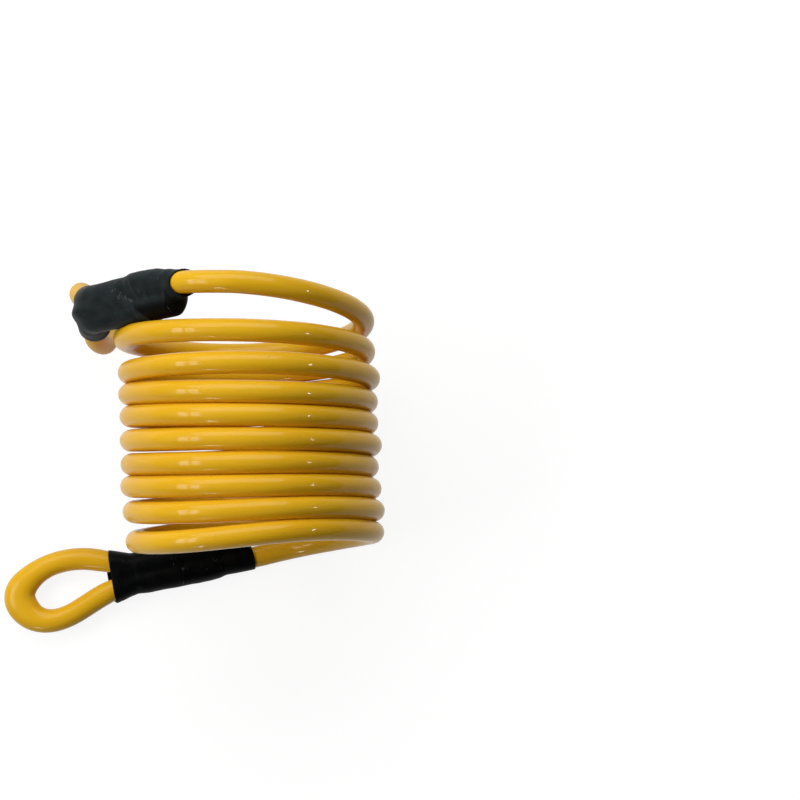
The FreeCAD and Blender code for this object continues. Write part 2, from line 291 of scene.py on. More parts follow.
def upper_bend(share):
    """The bend between the coil's top and the upper sleeve's mouth."""

    def on_bend(angle, reach):
        across = Vector((-reach * math.sin(angle), 0, reach * math.cos(angle)))
        return coil_point(0) + across - Vector((0, 0, UPPER_BEND_RADIUS))

    missing = upper.mouth - on_bend(UPPER_LEAN, UPPER_BEND_RADIUS)
    reach = UPPER_BEND_RADIUS / pull(UPPER_LEAN / 3)
    return on_bend(UPPER_LEAN * share, reach) + missing * ease(share)


def last_quarter(share):
    """The last quarter turn, drawn towards the lower sleeve's mouth and its heading."""
    turn = WHOLE_TURNS + QUARTER + share * QUARTER
    missing = lower.mouth - coil_point(WHOLE_TURNS + 2 * QUARTER)
    drawn = Vector((missing.x * ease(share), missing.y * share ** DRAWN_LATE, missing.z * ease(share)))
    return coil_point(turn, CONTROL_RADIUS) + drawn


def inside_sleeve(end, share):
    """A point on the straight stretch from the mouth, at 0, to the ferrule's middle, at 1."""
    return end.mouth + end.along * end.ferrule_middle * share


route = [inside_sleeve(upper, share) for share in THIRDS]
route += [upper_bend(share) for share in THIRDS]
route += [
    coil_point(n / POINTS_PER_TURN, CONTROL_RADIUS)
    for n in range(int((WHOLE_TURNS + QUARTER) * POINTS_PER_TURN) + 1)
]
route += [last_quarter(n / LAST_QUARTER_POINTS) for n in range(1, LAST_QUARTER_POINTS)]
route += [inside_sleeve(lower, share) for share in (0, 1 / 4, 1 / 2, 1)]
cable_line = smooth_line("cable_line", route, steps=4)


def lengths_along(path):
    """The length of a line up to each of its points."""
    return np.concatenate([[0], np.cumsum(np.linalg.norm(np.diff(path, axis=0), axis=1))])


print("control points:", len(route), " points found:", len(cable_line))
print("cable between the ferrules: %.3f m" % lengths_along(cable_line)[-1])

# %% [markdown]
# ## A skin along a line
#
# Blender can bevel a curve into a tube, but a tube with a hollow, a wavy radius or twisted strands
# is easier as a mesh: a ring of points at each point of the line, joined by quads. The ring's two
# directions are carried along without turning, so the skin doesn't twist by itself. Each point also
# stores where it would lie if the cable were pulled straight. The finishes use that to run their
# streaks along the cable, whatever way it bends.

# %% Rings of points
def carried_frames(path):
    """The heading at each point of a line, and two directions across it that don't twist."""
    heading = np.gradient(path, axis=0)
    heading /= np.linalg.norm(heading, axis=1)[:, None]
    side = np.zeros_like(path)
    last = np.cross(heading[0], (0, 0, 1))
    for n, ahead in enumerate(heading):
        last = last - ahead * last.dot(ahead)
        last = last / np.linalg.norm(last)
        side[n] = last
    return heading, side, np.cross(heading, side)


def ring_points(path, radii, sides, twist=0.0, tall=None):
    """Rings round a line. radii is one number, one for each ring, or one for each point.

    With tall, a radius for each ring, the rings are ovals."""
    heading, side, other = carried_frames(path)
    length = lengths_along(path)
    around = np.linspace(0, math.tau, sides, endpoint=False)
    angle = around[None, :] + twist * length[:, None]
    radii = np.asarray(radii, float)
    if radii.ndim == 1:
        radii = radii[:, None]
    radii = np.broadcast_to(radii, angle.shape)
    a = radii * np.cos(angle)
    b = (radii if tall is None else np.asarray(tall)[:, None]) * np.sin(angle)
    points = path[:, None, :] + side[:, None, :] * a[..., None] + other[:, None, :] * b[..., None]
    straight = np.stack([np.broadcast_to(length[:, None], angle.shape), a, b], axis=-1)
    return points.reshape(-1, 3), straight.reshape(-1, 3)


print("heading in the upper sleeve:", carried_frames(cable_line)[0][0].round(3))

# %% Rings into a mesh
JACKET_SIDES = 24


def grid_faces(first, rings, sides, flip=False):
    """Quads between rings of points that are stored one after the other."""
    faces = []
    for ring in range(rings - 1):
        for n in range(sides):
            a = first + ring * sides + n
            b = first + ring * sides + (n + 1) % sides
            quad = (a, b, b + sides, a + sides)
            faces.append(quad[::-1] if flip else quad)
    return faces


def new_piece(name, points, faces, unrolled):
    """A smooth mesh object, with the place of each point on the straightened cable."""
    mesh = bpy.data.meshes.new(name)
    mesh.from_pydata([tuple(p) for p in points], [], faces)
    mesh.shade_smooth()
    store = mesh.attributes.new("unrolled", "FLOAT_VECTOR", "POINT")
    store.data.foreach_set("vector", np.asarray(unrolled, np.float32).ravel())
    mesh.update()
    piece = bpy.data.objects.new(name, mesh)
    bpy.context.scene.collection.objects.link(piece)
    return piece


def rim_faces(count, sides, flip=False):
    """Quads that join an outer skin of count points to its bore, at the first ring and the last."""
    last = count - sides
    faces = []
    for n in range(sides):
        m = (n + 1) % sides
        near = (m, n, count + n, count + m)
        far = (last + n, last + m, count + last + m, count + last + n)
        faces += [near[::-1], far[::-1]] if flip else [near, far]
    return faces


def hollow_tube(name, path, outer, inner, tall=None):
    """A jacket: an outer skin, a bore, and a flat ring at each end. None of it is below the floor."""
    rings = len(path)
    count = rings * JACKET_SIDES
    skin, straight = ring_points(path, outer, JACKET_SIDES, tall=tall)
    bore, bore_straight = ring_points(path, inner, JACKET_SIDES)
    faces = grid_faces(0, rings, JACKET_SIDES) + grid_faces(count, rings, JACKET_SIDES, flip=True)
    faces += rim_faces(count, JACKET_SIDES)
    points = np.concatenate([skin, bore])
    points[:, 2] = np.maximum(points[:, 2], 0)
    return new_piece(name, points, faces, np.concatenate([straight, bore_straight]))


def solid_rod(name, path, radii, sides, twist):
    """A rod with flat ends, whose rings turn by twist for each metre."""
    points, straight = ring_points(path, radii, sides, twist)
    faces = grid_faces(0, len(path), sides)
    last = (len(path) - 1) * sides
    faces.append(tuple(range(sides))[::-1])
    faces.append(tuple(range(last, last + sides)))
    return new_piece(name, points, faces, straight)


print("faces between two rings:", len(grid_faces(0, 2, JACKET_SIDES)))

# %% [markdown]
# ## The coil's jacket
#
# The jacket is one tube from inside one sleeve to inside the other. It is drawn over the rope by an
# extruder, so it is nearly even, with a slow waver of a few hundredths of a millimetre that shows
# only in the reflections. It ends just inside the sleeves, before the rope's cut end, because the
# ferrules grip the bare rope.

# %% Coil jacket
JACKET_RADIUS = 0.00525
BORE_RADIUS = 0.0036
JACKET_TO_CUT_END = 0.0015
WAVER_SIZE = 0.00006
WAVER_LENGTH = 0.012
WAVER_SEED = 3.7


def between(path, start, end):
    """The stretch of a line between two lengths along it, counted from its two ends."""
    length = lengths_along(path)
    return path[(length >= start) & (length <= length[-1] - end)]


def waver(path):
    """A slow waver along a line."""
    spots = [Vector((s / WAVER_LENGTH, WAVER_SEED, 0)) for s in lengths_along(path)]
    return np.array([WAVER_SIZE * noise.noise(spot) for spot in spots])


bare_upper, bare_lower = (
    end.ferrule_middle - end.cut_end + JACKET_TO_CUT_END for end in (upper, lower)
)
jacket_line = between(cable_line, bare_upper, bare_lower)
jacket_radii = JACKET_RADIUS + waver(jacket_line)
coil_jacket = hollow_tube("yellow_coil", jacket_line, jacket_radii, BORE_RADIUS)
print("jacket: %.3f m, %d points" % (lengths_along(jacket_line)[-1], len(coil_jacket.data.vertices)))

# %% [markdown]
# ## The wire rope
#
# Inside is a rope of six strands laid round a core. Its outline is six arcs that meet in grooves,
# and the ring turns as it goes along, by one turn in each lay of the rope.

# %% Rope in the coil
ROPE_RADIUS = 0.0035
ROPE_LAY = 0.045
STRANDS = 6
POINTS_PER_STRAND = 5
ROPE_SIDES = STRANDS * POINTS_PER_STRAND


def strand_outline():
    """The rope's radius at each point of its ring."""
    centre = ROPE_RADIUS * 2 / 3
    strand = ROPE_RADIUS / 3
    radii = []
    for n in range(ROPE_SIDES):
        off = ((n % POINTS_PER_STRAND) / POINTS_PER_STRAND - 0.5) * math.tau / STRANDS
        radii.append(centre * math.cos(off) + math.sqrt(strand ** 2 - (centre * math.sin(off)) ** 2))
    return np.array(radii)


def wire_rope(name, path):
    """A length of rope along a line."""
    radii = np.tile(strand_outline(), (len(path), 1))
    return solid_rod(name, path, radii, ROPE_SIDES, twist=math.tau / ROPE_LAY)


coil_rope = wire_rope("rope_in_coil", cable_line)
print("rope in the coil: %d points" % len(coil_rope.data.vertices))

# %% [markdown]
# ## The eyes
#
# The rope leaves the ferrule, goes round the eye and comes back beside itself. The eye's jacket is
# a separate length of tube. In the photograph it is wider at the tip than on the arms, because the
# bend flattens the vinyl and crowds it, so its ring is an oval that widens there. Under the sleeve
# the arms are squeezed a little thinner. The hanging eye is twisted, so its route has a height too.

# %% Rope and jacket round each eye
LOWER_EYE_ROUTE = (
    (0.0172, -0.0026, 0.0001), (0.0414, -0.0124, 0.0003), (0.0561, -0.0083, 0.0006),
    (0.0618, 0.0059, 0.0006), (0.0465, 0.0165, 0.0003), (0.0272, 0.0177, 0.0001),
)
UPPER_EYE_ROUTE = (
    (0.0280, -0.0042, 0.0044), (0.0455, -0.0070, 0.0055), (0.0595, -0.0009, 0.0010),
    (0.0625, 0.0124, -0.0010), (0.0500, 0.0206, -0.0025), (0.0285, 0.0184, 0.0010),
)
EYE_ARM_RADIUS = 0.0055
SQUEEZED_RADIUS = 0.0052
EYE_TIP_WIDTH = 0.0079
EYE_TIP_HEIGHT = 0.0057
TIP_SHARPNESS = 16
BEFORE_ELBOW = 0.003
NEAR_ELBOW = 0.009
JACKET_PAST_ELBOW = 0.005
SQUEEZED_UP_TO = 0.007
ROUND_FROM = 0.013


def eye_line(end, eye_route):
    """The line from the ferrule's middle round the eye and back to the rope's cut end."""
    first, last = eye_route[0], eye_route[-1]
    points = [end.place(end.ferrule_middle, 0), end.place(ELBOW - BEND_REACH, 0)]
    points += [end.place(ELBOW - BEFORE_ELBOW, 0)]
    points += [end.place(ELBOW + NEAR_ELBOW, first[1] * NEAR_ELBOW / first[0])]
    points += [end.place(ELBOW + past, offset, height) for past, offset, height in eye_route]
    back = ROPE_SPACING + (last[1] - ROPE_SPACING) * NEAR_ELBOW / last[0]
    points += [end.place(ELBOW + NEAR_ELBOW, back), end.place(ELBOW - BEFORE_ELBOW, ROPE_SPACING)]
    points += [end.place(ELBOW - BEND_REACH, ROPE_SPACING), end.place(end.cut_end, ROPE_SPACING)]
    return smooth_line("eye_line", points, steps=12)


def eye_jacket(name, end, path):
    """The tube round an eye, wide at the tip and squeezed where the sleeve holds its arms."""
    jacket_start = ELBOW + JACKET_PAST_ELBOW
    arms = between(path, jacket_start - end.ferrule_middle, jacket_start - end.cut_end)
    share = lengths_along(arms)
    round_tip = np.sin(np.pi * share / share[-1]) ** TIP_SHARPNESS
    to_end = np.minimum(share, share[-1] - share)
    arm = np.interp(to_end, (SQUEEZED_UP_TO, ROUND_FROM), (SQUEEZED_RADIUS, EYE_ARM_RADIUS))
    wide = arm + (EYE_TIP_WIDTH - EYE_ARM_RADIUS) * round_tip
    tall = arm + (EYE_TIP_HEIGHT - EYE_ARM_RADIUS) * round_tip
    return hollow_tube(name, arms, wide, BORE_RADIUS, tall=tall)


lower_line = eye_line(lower, LOWER_EYE_ROUTE)
upper_line = eye_line(upper, UPPER_EYE_ROUTE)
lower_eye_rope = wire_rope("rope_in_lower_eye", lower_line)
upper_eye_rope = wire_rope("rope_in_upper_eye", upper_line)
lower_eye = eye_jacket("yellow_lower_eye", lower, lower_line)
upper_eye = eye_jacket("yellow_upper_eye", upper, upper_line)
print("rope round the eyes: %.3f m, %.3f m" % (
    lengths_along(lower_line)[-1], lengths_along(upper_line)[-1]
))

# %% [markdown]
# ## The heat-shrink sleeves
#
# A heat-shrink tube follows what is under it. From the mouth it hugs the single cable, steps up
# over the ferrule, draws in past it, and spreads again over the eye's two arms. A sleeve is built
# from a few sections, each with its distance from the mouth, its two edges across and its half
# height. The valley is how deep its flat sides sink between the ferrule's two barrels, and below 0
# they bulge. The skew draws one side of a section back towards the mouth, so that a crease runs
# aslant. A smooth curve runs through the sections, and a ring of points is laid at each step along
# it.

# %% A smooth curve through a few values
def through(stations, values, at):
    """Values along a smooth curve that passes through the stations without overshoot."""
    stations, values, at = (np.asarray(a, float) for a in (stations, values, at))
    steps = np.diff(stations)
    slopes = np.diff(values) / steps
    product = slopes[:-1] * slopes[1:]
    total = slopes[:-1] + slopes[1:]
    inner = np.where(product > 0, 2 * product / np.where(total == 0, 1, total), 0)
    tangents = np.concatenate([slopes[:1], inner, slopes[-1:]])
    n = np.clip(np.searchsorted(stations, at) - 1, 0, len(steps) - 1)
    u = np.clip((at - stations[n]) / steps[n], 0, 1)
    rise = u * u * (3 - 2 * u)
    leaving = u * (1 - u) ** 2 * steps[n] * tangents[n]
    arriving = u * u * (1 - u) * steps[n] * tangents[n + 1]
    return values[n] + (values[n + 1] - values[n]) * rise + leaving - arriving


print("between the stations:", through((0, 1, 2), (0, 1, 1), (0.5, 1.5)).round(3))

# %% Round a section
ARC_STEPS = 18
FLAT_STEPS = 12
FLAT_HALF_ANGLE = math.radians(10)


def section_angles():
    """Angles round a section, closer together on its two flat sides."""
    limit = math.pi / 2 - FLAT_HALF_ANGLE
    angles = []
    for turned in (0, math.pi):
        angles += [turned - limit + 2 * limit * n / ARC_STEPS for n in range(ARC_STEPS)]
        angles += [
            turned + limit + 2 * FLAT_HALF_ANGLE * n / FLAT_STEPS for n in range(FLAT_STEPS)
        ]
    return angles


SECTION_ANGLES = section_angles()
SLEEVE_SIDES = len(SECTION_ANGLES)
print("points round a section:", SLEEVE_SIDES)

# %% [markdown]
# The second turn leans on the upper sleeve and dents it. A point of the sleeve that would be inside
# a turn is pushed straight out to the turn's surface. The stretch of cable that runs into a sleeve
# doesn't count, because it belongs in there.

# %% Dents
CLEAR_OF_MOUTH = 0.14
SKIN_CLEARANCE = 0.00005
LINING_CLEARANCE = 0.00016


def kept_clear(points, reach):
    """The points, pushed off the turns of the coil that lean on them."""
    length = lengths_along(cable_line)
    turns = cable_line[(length > CLEAR_OF_MOUTH) & (length < length[-1] - CLEAR_OF_MOUTH)]
    for start, step in zip(turns[:-1], np.diff(turns, axis=0)):
        share = np.clip((points - start) @ step / step.dot(step), 0, 1)
        off = points - start - share[:, None] * step
        distance = np.linalg.norm(off, axis=1)
        close = distance < reach
        points[close] += off[close] * (reach / distance[close] - 1)[:, None]
    return points


turns_length = lengths_along(cable_line)[-1] - 2 * CLEAR_OF_MOUTH
print("cable that can dent a sleeve: %.2f m" % turns_length)

# %% Sleeve
SLEEVE_WALL = 0.0006
SLEEVE_RINGS = 110
MOUTH_FADE = 0.009
RIM_FADE = 0.014
VALLEY_REACH = 0.0034
WRINKLES_PER_METRE = 90
WRINKLE_SIZE = 0.00016
FINER = 2.6
FINE_WRINKLE_SIZE = 0.00010


def wrinkle(distance, across, height):
    """How far the skin stands out at a spot, from two layers of noise."""
    spot = Vector([WRINKLES_PER_METRE * size for size in (distance, across, height)])
    return WRINKLE_SIZE * noise.noise(spot) + FINE_WRINKLE_SIZE * noise.noise(spot * FINER)


def sleeve(name, end, sections, mouth_slant, rim_slant, rim_lip):
    """A sleeve through its sections.

    Each is (distance, low edge, high edge, half height, valley, skew, lean). The flat sides sink by
    valley, the high side is drawn back by skew, and the whole section is raised by lean. The mouth
    is cut on a slant, with its underside further out by mouth_slant. The rim stands out by
    rim_slant on the high side and by rim_lip underneath."""
    table = np.array(sections)
    start, finish = table[0, 0], table[-1, 0]
    distances = np.linspace(start, finish, SLEEVE_RINGS)
    low, high, half, valley, skew, lean = (
        through(table[:, 0], table[:, k], distances) for k in range(1, 7)
    )
    points, straight = [], []
    for wall in (0, SLEEVE_WALL):
        for n, distance in enumerate(distances):
            middle = (low[n] + high[n]) / 2
            width = (high[n] - low[n]) / 2 - wall
            tall = half[n] - wall
            near_mouth = 1 - ease(distance, start, start + MOUTH_FADE)
            near_rim = ease(distance, finish - RIM_FADE, finish)
            for angle in SECTION_ANGLES:
                reach = min(max(math.cos(angle) / math.sin(FLAT_HALF_ANGLE), -1), 1)
                across = (width - tall) * reach + tall * math.cos(angle)
                if valley[n] > 0:
                    reach = min(max((middle + across - ROPE_SPACING / 2) / VALLEY_REACH, -1), 1)
                sink = valley[n] * math.cos(math.pi / 2 * reach) ** 2
                height = (tall - sink) * math.sin(angle)
                side = across / width
                shift = mouth_slant * near_mouth * height / tall - skew[n] * (1 + side) / 2
                shift += near_rim * (rim_slant * side - rim_lip * min(height / tall, 0))
                out = 1 + wrinkle(distance, across, height) / tall
                point = end.place(distance + shift, middle + across * out, lean[n] + height * out)
                points.append((point.x, point.y, max(point.z, 0)))
                straight.append((distance, middle + across, height))
    count = SLEEVE_RINGS * SLEEVE_SIDES
    points = np.array(points)
    points[:count] = kept_clear(points[:count], JACKET_RADIUS + SKIN_CLEARANCE)
    points[count:] = kept_clear(points[count:], JACKET_RADIUS + LINING_CLEARANCE)
    faces = grid_faces(0, SLEEVE_RINGS, SLEEVE_SIDES, flip=True)
    faces += grid_faces(count, SLEEVE_RINGS, SLEEVE_SIDES)
    faces += rim_faces(count, SLEEVE_SIDES, flip=True)
    return new_piece(name, points, faces, straight)


print("wrinkles stay under %.2f mm" % (1000 * (WRINKLE_SIZE + FINE_WRINKLE_SIZE)))

# %% The two sleeves
LOWER_SECTIONS = (
    (0.0015, -0.0059, 0.0061, 0.0062, 0.0, 0.0, 0.0),
    (0.0025, -0.0060, 0.0074, 0.0061, 0.0, 0.0, 0.0),
    (0.0045, -0.0060, 0.0110, 0.0061, 0.0002, 0.0, 0.0),
    (0.0080, -0.0060, 0.0120, 0.0061, 0.0008, 0.0, 0.0),
    (0.0155, -0.0060, 0.0122, 0.0061, 0.0010, 0.0, 0.0),
    (0.0205, -0.0069, 0.0148, 0.0071, 0.0008, 0.0, 0.0),
    (0.0230, -0.0070, 0.0148, 0.0071, 0.0008, 0.0, 0.0),
    (0.0530, -0.0069, 0.0148, 0.0071, 0.0008, 0.0, 0.0),
    (0.0580, -0.0066, 0.0147, 0.0070, 0.0004, 0.0, 0.0),
    (0.0605, -0.0063, 0.0144, 0.0067, 0.0004, 0.0, 0.0),
    (0.0640, -0.0069, 0.0155, 0.0067, 0.0002, 0.0, 0.0),
    (0.0690, -0.0082, 0.0172, 0.0068, 0.0, 0.0, 0.0),
    (0.0716, -0.0088, 0.0180, 0.0068, 0.0, 0.0, 0.0),
)
UPPER_SECTIONS = (
    (-0.0005, -0.0061, 0.0068, 0.0068, 0.0, 0.0, 0.0),
    (0.0020, -0.0062, 0.0071, 0.0068, 0.0, 0.0, 0.0),
    (0.0043, -0.0065, 0.0078, 0.0070, 0.0, 0.0, 0.0),
    (0.0054, -0.0068, 0.0124, 0.0072, 0.0002, 0.0, 0.0),
    (0.0070, -0.0072, 0.0146, 0.0074, 0.0006, 0.0, 0.0),
    (0.0090, -0.0074, 0.0147, 0.0074, 0.0012, 0.0, 0.0),
    (0.0150, -0.0087, 0.0149, 0.0075, 0.0013, 0.0010, 0.0),
    (0.0220, -0.0090, 0.0150, 0.0075, 0.0013, 0.0030, 0.0),
    (0.0290, -0.0088, 0.0149, 0.0075, 0.0012, 0.0050, 0.0),
    (0.0325, -0.0081, 0.0147, 0.0071, 0.0002, 0.0060, 0.0),
    (0.0355, -0.0078, 0.0151, 0.0074, 0.0, 0.0055, 0.0),
    (0.0440, -0.0076, 0.0153, 0.0073, -0.0004, 0.0030, 0.0),
    (0.0560, -0.0072, 0.0154, 0.0072, -0.0014, 0.0, 0.0),
    (0.0605, -0.0068, 0.0154, 0.0070, -0.0022, 0.0, 0.0),
    (0.0650, -0.0071, 0.0166, 0.0071, -0.0018, 0.0, 0.0),
    (0.0725, -0.0081, 0.0190, 0.0078, -0.0006, 0.0, -0.0003),
)
lower_sleeve = sleeve(
    "black_lower_sleeve", lower, LOWER_SECTIONS, mouth_slant=-0.0014, rim_slant=-0.0004, rim_lip=0.004
)
upper_sleeve = sleeve(
    "black_upper_sleeve", upper, UPPER_SECTIONS, mouth_slant=0.0034, rim_slant=0.0, rim_lip=0.001
)
print("sleeves:", [len(s.data.vertices) for s in (lower_sleeve, upper_sleeve)], "points")

# %% [markdown]
# ## What moves with what
#
# The coil joins the two ends. Each ring of the jacket and of the rope gets a share of the cable's
# length, for how far it would follow when the upper end is drawn away, but the shares are only worked
# out and not stored, so nothing follows. The share rises slowly next to each sleeve, so that the cable
# would leave the sleeves straight, and evenly in between.

# %% Bodies
EASED_SHARE = 0.04
PAST_MOUTH = 0.003


def stretch_share(length, total):
    """How far a ring would follow the upper end: 1 at the first ring and 0 at the last."""
    start, end = (e.ferrule_middle + PAST_MOUTH for e in (upper, lower))
    u = np.clip((length - start) / (total - start - end), 0, 1)
    e = EASED_SHARE
    first = u * u / (2 * e)
    last = (1 - e) - (1 - u) ** 2 / (2 * e)
    rise = np.where(u < e, first, np.where(u > 1 - e, last, u - e / 2))
    return 1 - rise / (1 - e)


def stretch_with_coil(piece, path, skipped):
    """Bakes a swept piece's place into its points and works out how far each ring would follow the
    coil's stretch, which is not stored.
    """
    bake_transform(piece)
    total = lengths_along(cable_line)[-1]
    share = stretch_share(lengths_along(path) + skipped, total)


stretch_with_coil(coil_jacket, jacket_line, bare_upper)
stretch_with_coil(coil_rope, cable_line, 0)
for pieces, body in (
    ((lower_eye, lower_eye_rope, lower_sleeve), "lower_end"),
    ((upper_eye, upper_eye_rope, upper_sleeve), "upper_end"),
):
    for piece in pieces:
        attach(piece, body)
for piece, node in (
    (coil_jacket, "coil_jacket"), (coil_rope, "coil_rope"),
    (lower_eye, "lower_eye_jacket"), (lower_eye_rope, "lower_eye_rope"),
    (upper_eye, "upper_eye_jacket"), (upper_eye_rope, "upper_eye_rope"),
    (lower_sleeve, "lower_sleeve"), (upper_sleeve, "upper_sleeve"),
):
    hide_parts(node)

print("cable in the coil: %.3f m" % lengths_along(jacket_line)[-1])

# %% [markdown]
# ## Shader maths as Python
#
# A finish is a small sum of noises and masks. Written as nodes it is hard to read, so a socket is
# wrapped in a class whose operators add the Math nodes.

# %% A socket that can be added and multiplied
class Value:
    """A shader value. Python's operators on it add Math nodes."""

    def __init__(self, finish, socket):
        self.finish = finish
        self.socket = socket

    def _math(self, operation, a, b):
        return self.finish.node("ShaderNodeMath", {"operation": operation}, {0: a, 1: b})

    def __add__(self, other):
        return self._math("ADD", self, other)

    def __sub__(self, other):
        return self._math("SUBTRACT", self, other)

    def __rsub__(self, other):
        return self._math("SUBTRACT", other, self)

    def __mul__(self, other):
        return self._math("MULTIPLY", self, other)

    __radd__ = __add__
    __rmul__ = __mul__

    def step(self, low, high):
        """0 below low, 1 above high, and a smooth rise between."""
        return self.finish.node(
            "ShaderNodeMapRange",
            {"interpolation_type": "SMOOTHSTEP"},
            {"Value": self, "From Min": low, "From Max": high},
        )

    def near_zero(self, inner, outer):
        """1 where the square is below inner, 0 where it is above outer."""
        return 1 - (self * self).step(inner, outer)


class Nodes:
    """A node tree with its shader, and the one method that adds nodes to it."""

    def __init__(self, owner, shader):
        owner.use_nodes = True
        self.tree = owner.node_tree
        self.shader = self.tree.nodes[shader]

    def node(self, kind, settings, inputs, output=0):
        """Adds a node: its settings first, then the values or links of its sockets."""
        made = self.tree.nodes.new(kind)
        for name, value in settings.items():
            setattr(made, name, value)
        self.feed(made, inputs)
        return Value(self, made.outputs[output])

    def feed(self, made, inputs):
        for name, value in inputs.items():
            if isinstance(value, Value):
                self.tree.links.new(value.socket, made.inputs[name])
            else:
                made.inputs[name].default_value = value

    def seen_directly(self):
        """1 for the camera, reflections and anything seen through glass, and 0 for soft light."""
        kinds = ("Is Camera Ray", "Is Glossy Ray", "Is Transmission Ray")
        return sum(self.node("ShaderNodeLightPath", {}, {}, kind) for kind in kinds)

    def mix(self, factor, a, b):
        """A colour between a and b."""
        return self.node(
            "ShaderNodeMix", {"data_type": "RGBA"}, {0: factor, 6: a, 7: b}, output=2
        )


print("made:", Value.__name__, "and", Nodes.__name__)

# %% A finish and its patterns
class Finish(Nodes):
    """A material, with the patterns that this object's finishes share."""

    def __init__(self, name):
        self.material = bpy.data.materials.new(name)
        super().__init__(self.material, "Principled BSDF")

    def unrolled(self, stretch=(1, 1, 1)):
        """The place on the straightened cable, in millimetres, squeezed by stretch."""
        place = self.node("ShaderNodeAttribute", {"attribute_name": "unrolled"}, {}, output="Vector")
        scale = [1000 * s for s in stretch]
        return self.node("ShaderNodeVectorMath", {"operation": "MULTIPLY"}, {0: place, 1: scale})

    def noise(self, place, scale, detail=2.0, roughness=0.5):
        inputs = {"Vector": place, "Scale": scale, "Detail": detail, "Roughness": roughness}
        return self.node("ShaderNodeTexNoise", {}, inputs)

    def bump(self, height, distance):
        """Feeds a height, from 0 to 1, to the shader's normal."""
        normal = self.node("ShaderNodeBump", {}, {"Height": height, "Distance": distance})
        self.feed(self.shader, {"Normal": normal})


def finish_with(material, *pieces):
    """Gives pieces one material, in place of any other."""
    for piece in pieces:
        piece.data.materials.clear()
        piece.data.materials.append(material)


print("materials so far:", len(bpy.data.materials))

# %% [markdown]
# ## Yellow vinyl
#
# The jacket is soft vinyl under a thin gloss. Its body is nearly matt, and a coat that covers only a
# part of it gives the sharp highlights without a white haze on the sides that turn away. Up close
# it has a slightly uneven colour, faint rub marks along the cable that take the gloss off, and a
# few specks of dirt. The eyes are handled and knocked about most, so they are duller.

# %% Yellow vinyl
DEEP_YELLOW = (0.84, 0.455, 0.010, 1)
BRIGHT_YELLOW = (0.89, 0.50, 0.014, 1)
RUBBED_YELLOW = (0.95, 0.66, 0.18, 1)
DIRT = (0.30, 0.17, 0.02, 1)


def yellow_vinyl(name, gloss, blur):
    """The vinyl, with a coat that covers the share gloss of it and mirrors with some blur."""
    finish = Finish(name)
    patches = finish.noise(finish.unrolled((0.3, 1, 1)), 0.06, 3)
    rubs = finish.noise(finish.unrolled((0.05, 1, 1)), 0.9, 3, 0.6).step(0.56, 0.72)
    specks = finish.noise(finish.unrolled(), 0.55, 2).step(0.74, 0.78)
    colour = finish.mix(patches.step(0.35, 0.7), DEEP_YELLOW, BRIGHT_YELLOW)
    colour = finish.mix(rubs * 0.12, colour, RUBBED_YELLOW)
    colour = finish.mix(specks * 0.5, colour, DIRT)
    finish.feed(finish.shader, {
        "Base Color": colour,
        "Roughness": 0.42 + rubs * 0.10 + specks * 0.2,
        "Coat Weight": gloss - rubs * (gloss * 0.5) - specks * (gloss * 0.5),
        "Coat Roughness": blur,
        "Specular IOR Level": 0.12,
        "IOR": 1.5,
    })
    grain = finish.noise(finish.unrolled((0.15, 1, 1)), 0.25, 3)
    finish.bump(grain + specks * 0.3, 0.00012)
    return finish.material


vinyl = yellow_vinyl("yellow_vinyl", gloss=0.33, blur=0.05)
dull_vinyl = yellow_vinyl("dull_yellow_vinyl", gloss=0.26, blur=0.14)
worn_vinyl = yellow_vinyl("worn_yellow_vinyl", gloss=0.03, blur=0.3)
finish_with(vinyl, coil_jacket)
finish_with(dull_vinyl, lower_eye)
finish_with(worn_vinyl, upper_eye)
print("yellow finishes:", [m.name for m in (vinyl, dull_vinyl, worn_vinyl)])

# %% [markdown]
# ## Black heat-shrink
#
# The sleeve is a matt black plastic with fine lines along it where it was drawn, and a few pale
# scuff marks from rubbing on concrete. The two sleeves have different blacks: the lower one is
# painted nearly pure black as painted shade, because it lies in the coil's shade, and the upper one,
# which lies on top of the coil, is painted a paler bluish grey as a painted sheen. The upper one also
# has a band of scuff marks aslant, a faint pale line along a crease as a painted reflection, and
# painted shade, in black, on the side of the ferrule that faces the coil and turns away from the
# light. Those marks lie at places on the sleeve, so they are worked out from its unrolled
# millimetres, along it from the mouth and across it. A pair of values is where a mark begins to fade
# and where it has gone. A square pair holds those distances squared, because a square is the same on
# both sides of a line.

# %% Painted shade, painted reflection and scuff marks of the upper sleeve
# Where the upper sleeve is painted black as painted shade, on the side that faces the coil.
SHADE_SLANT = 0.77
SHADE_BEYOND = (4.5, 9)
SHADE_UP_TO = (32.9, 34.9)
BAND_MIDDLE = 35
BAND_ALONG = 0.69
BAND_ACROSS = 0.73
BAND_SQUARE = (0.8, 3)
BAND_REACH_SQUARE = (14, 26)
# Where a faint pale line, a painted reflection, runs along the upper sleeve's crease.
CREASE_MIDDLE = 26.3
CREASE_SLANT = 0.22
CREASE_SQUARE = (0.05, 0.35)
CREASE_REACH_SQUARE = (20, 40)


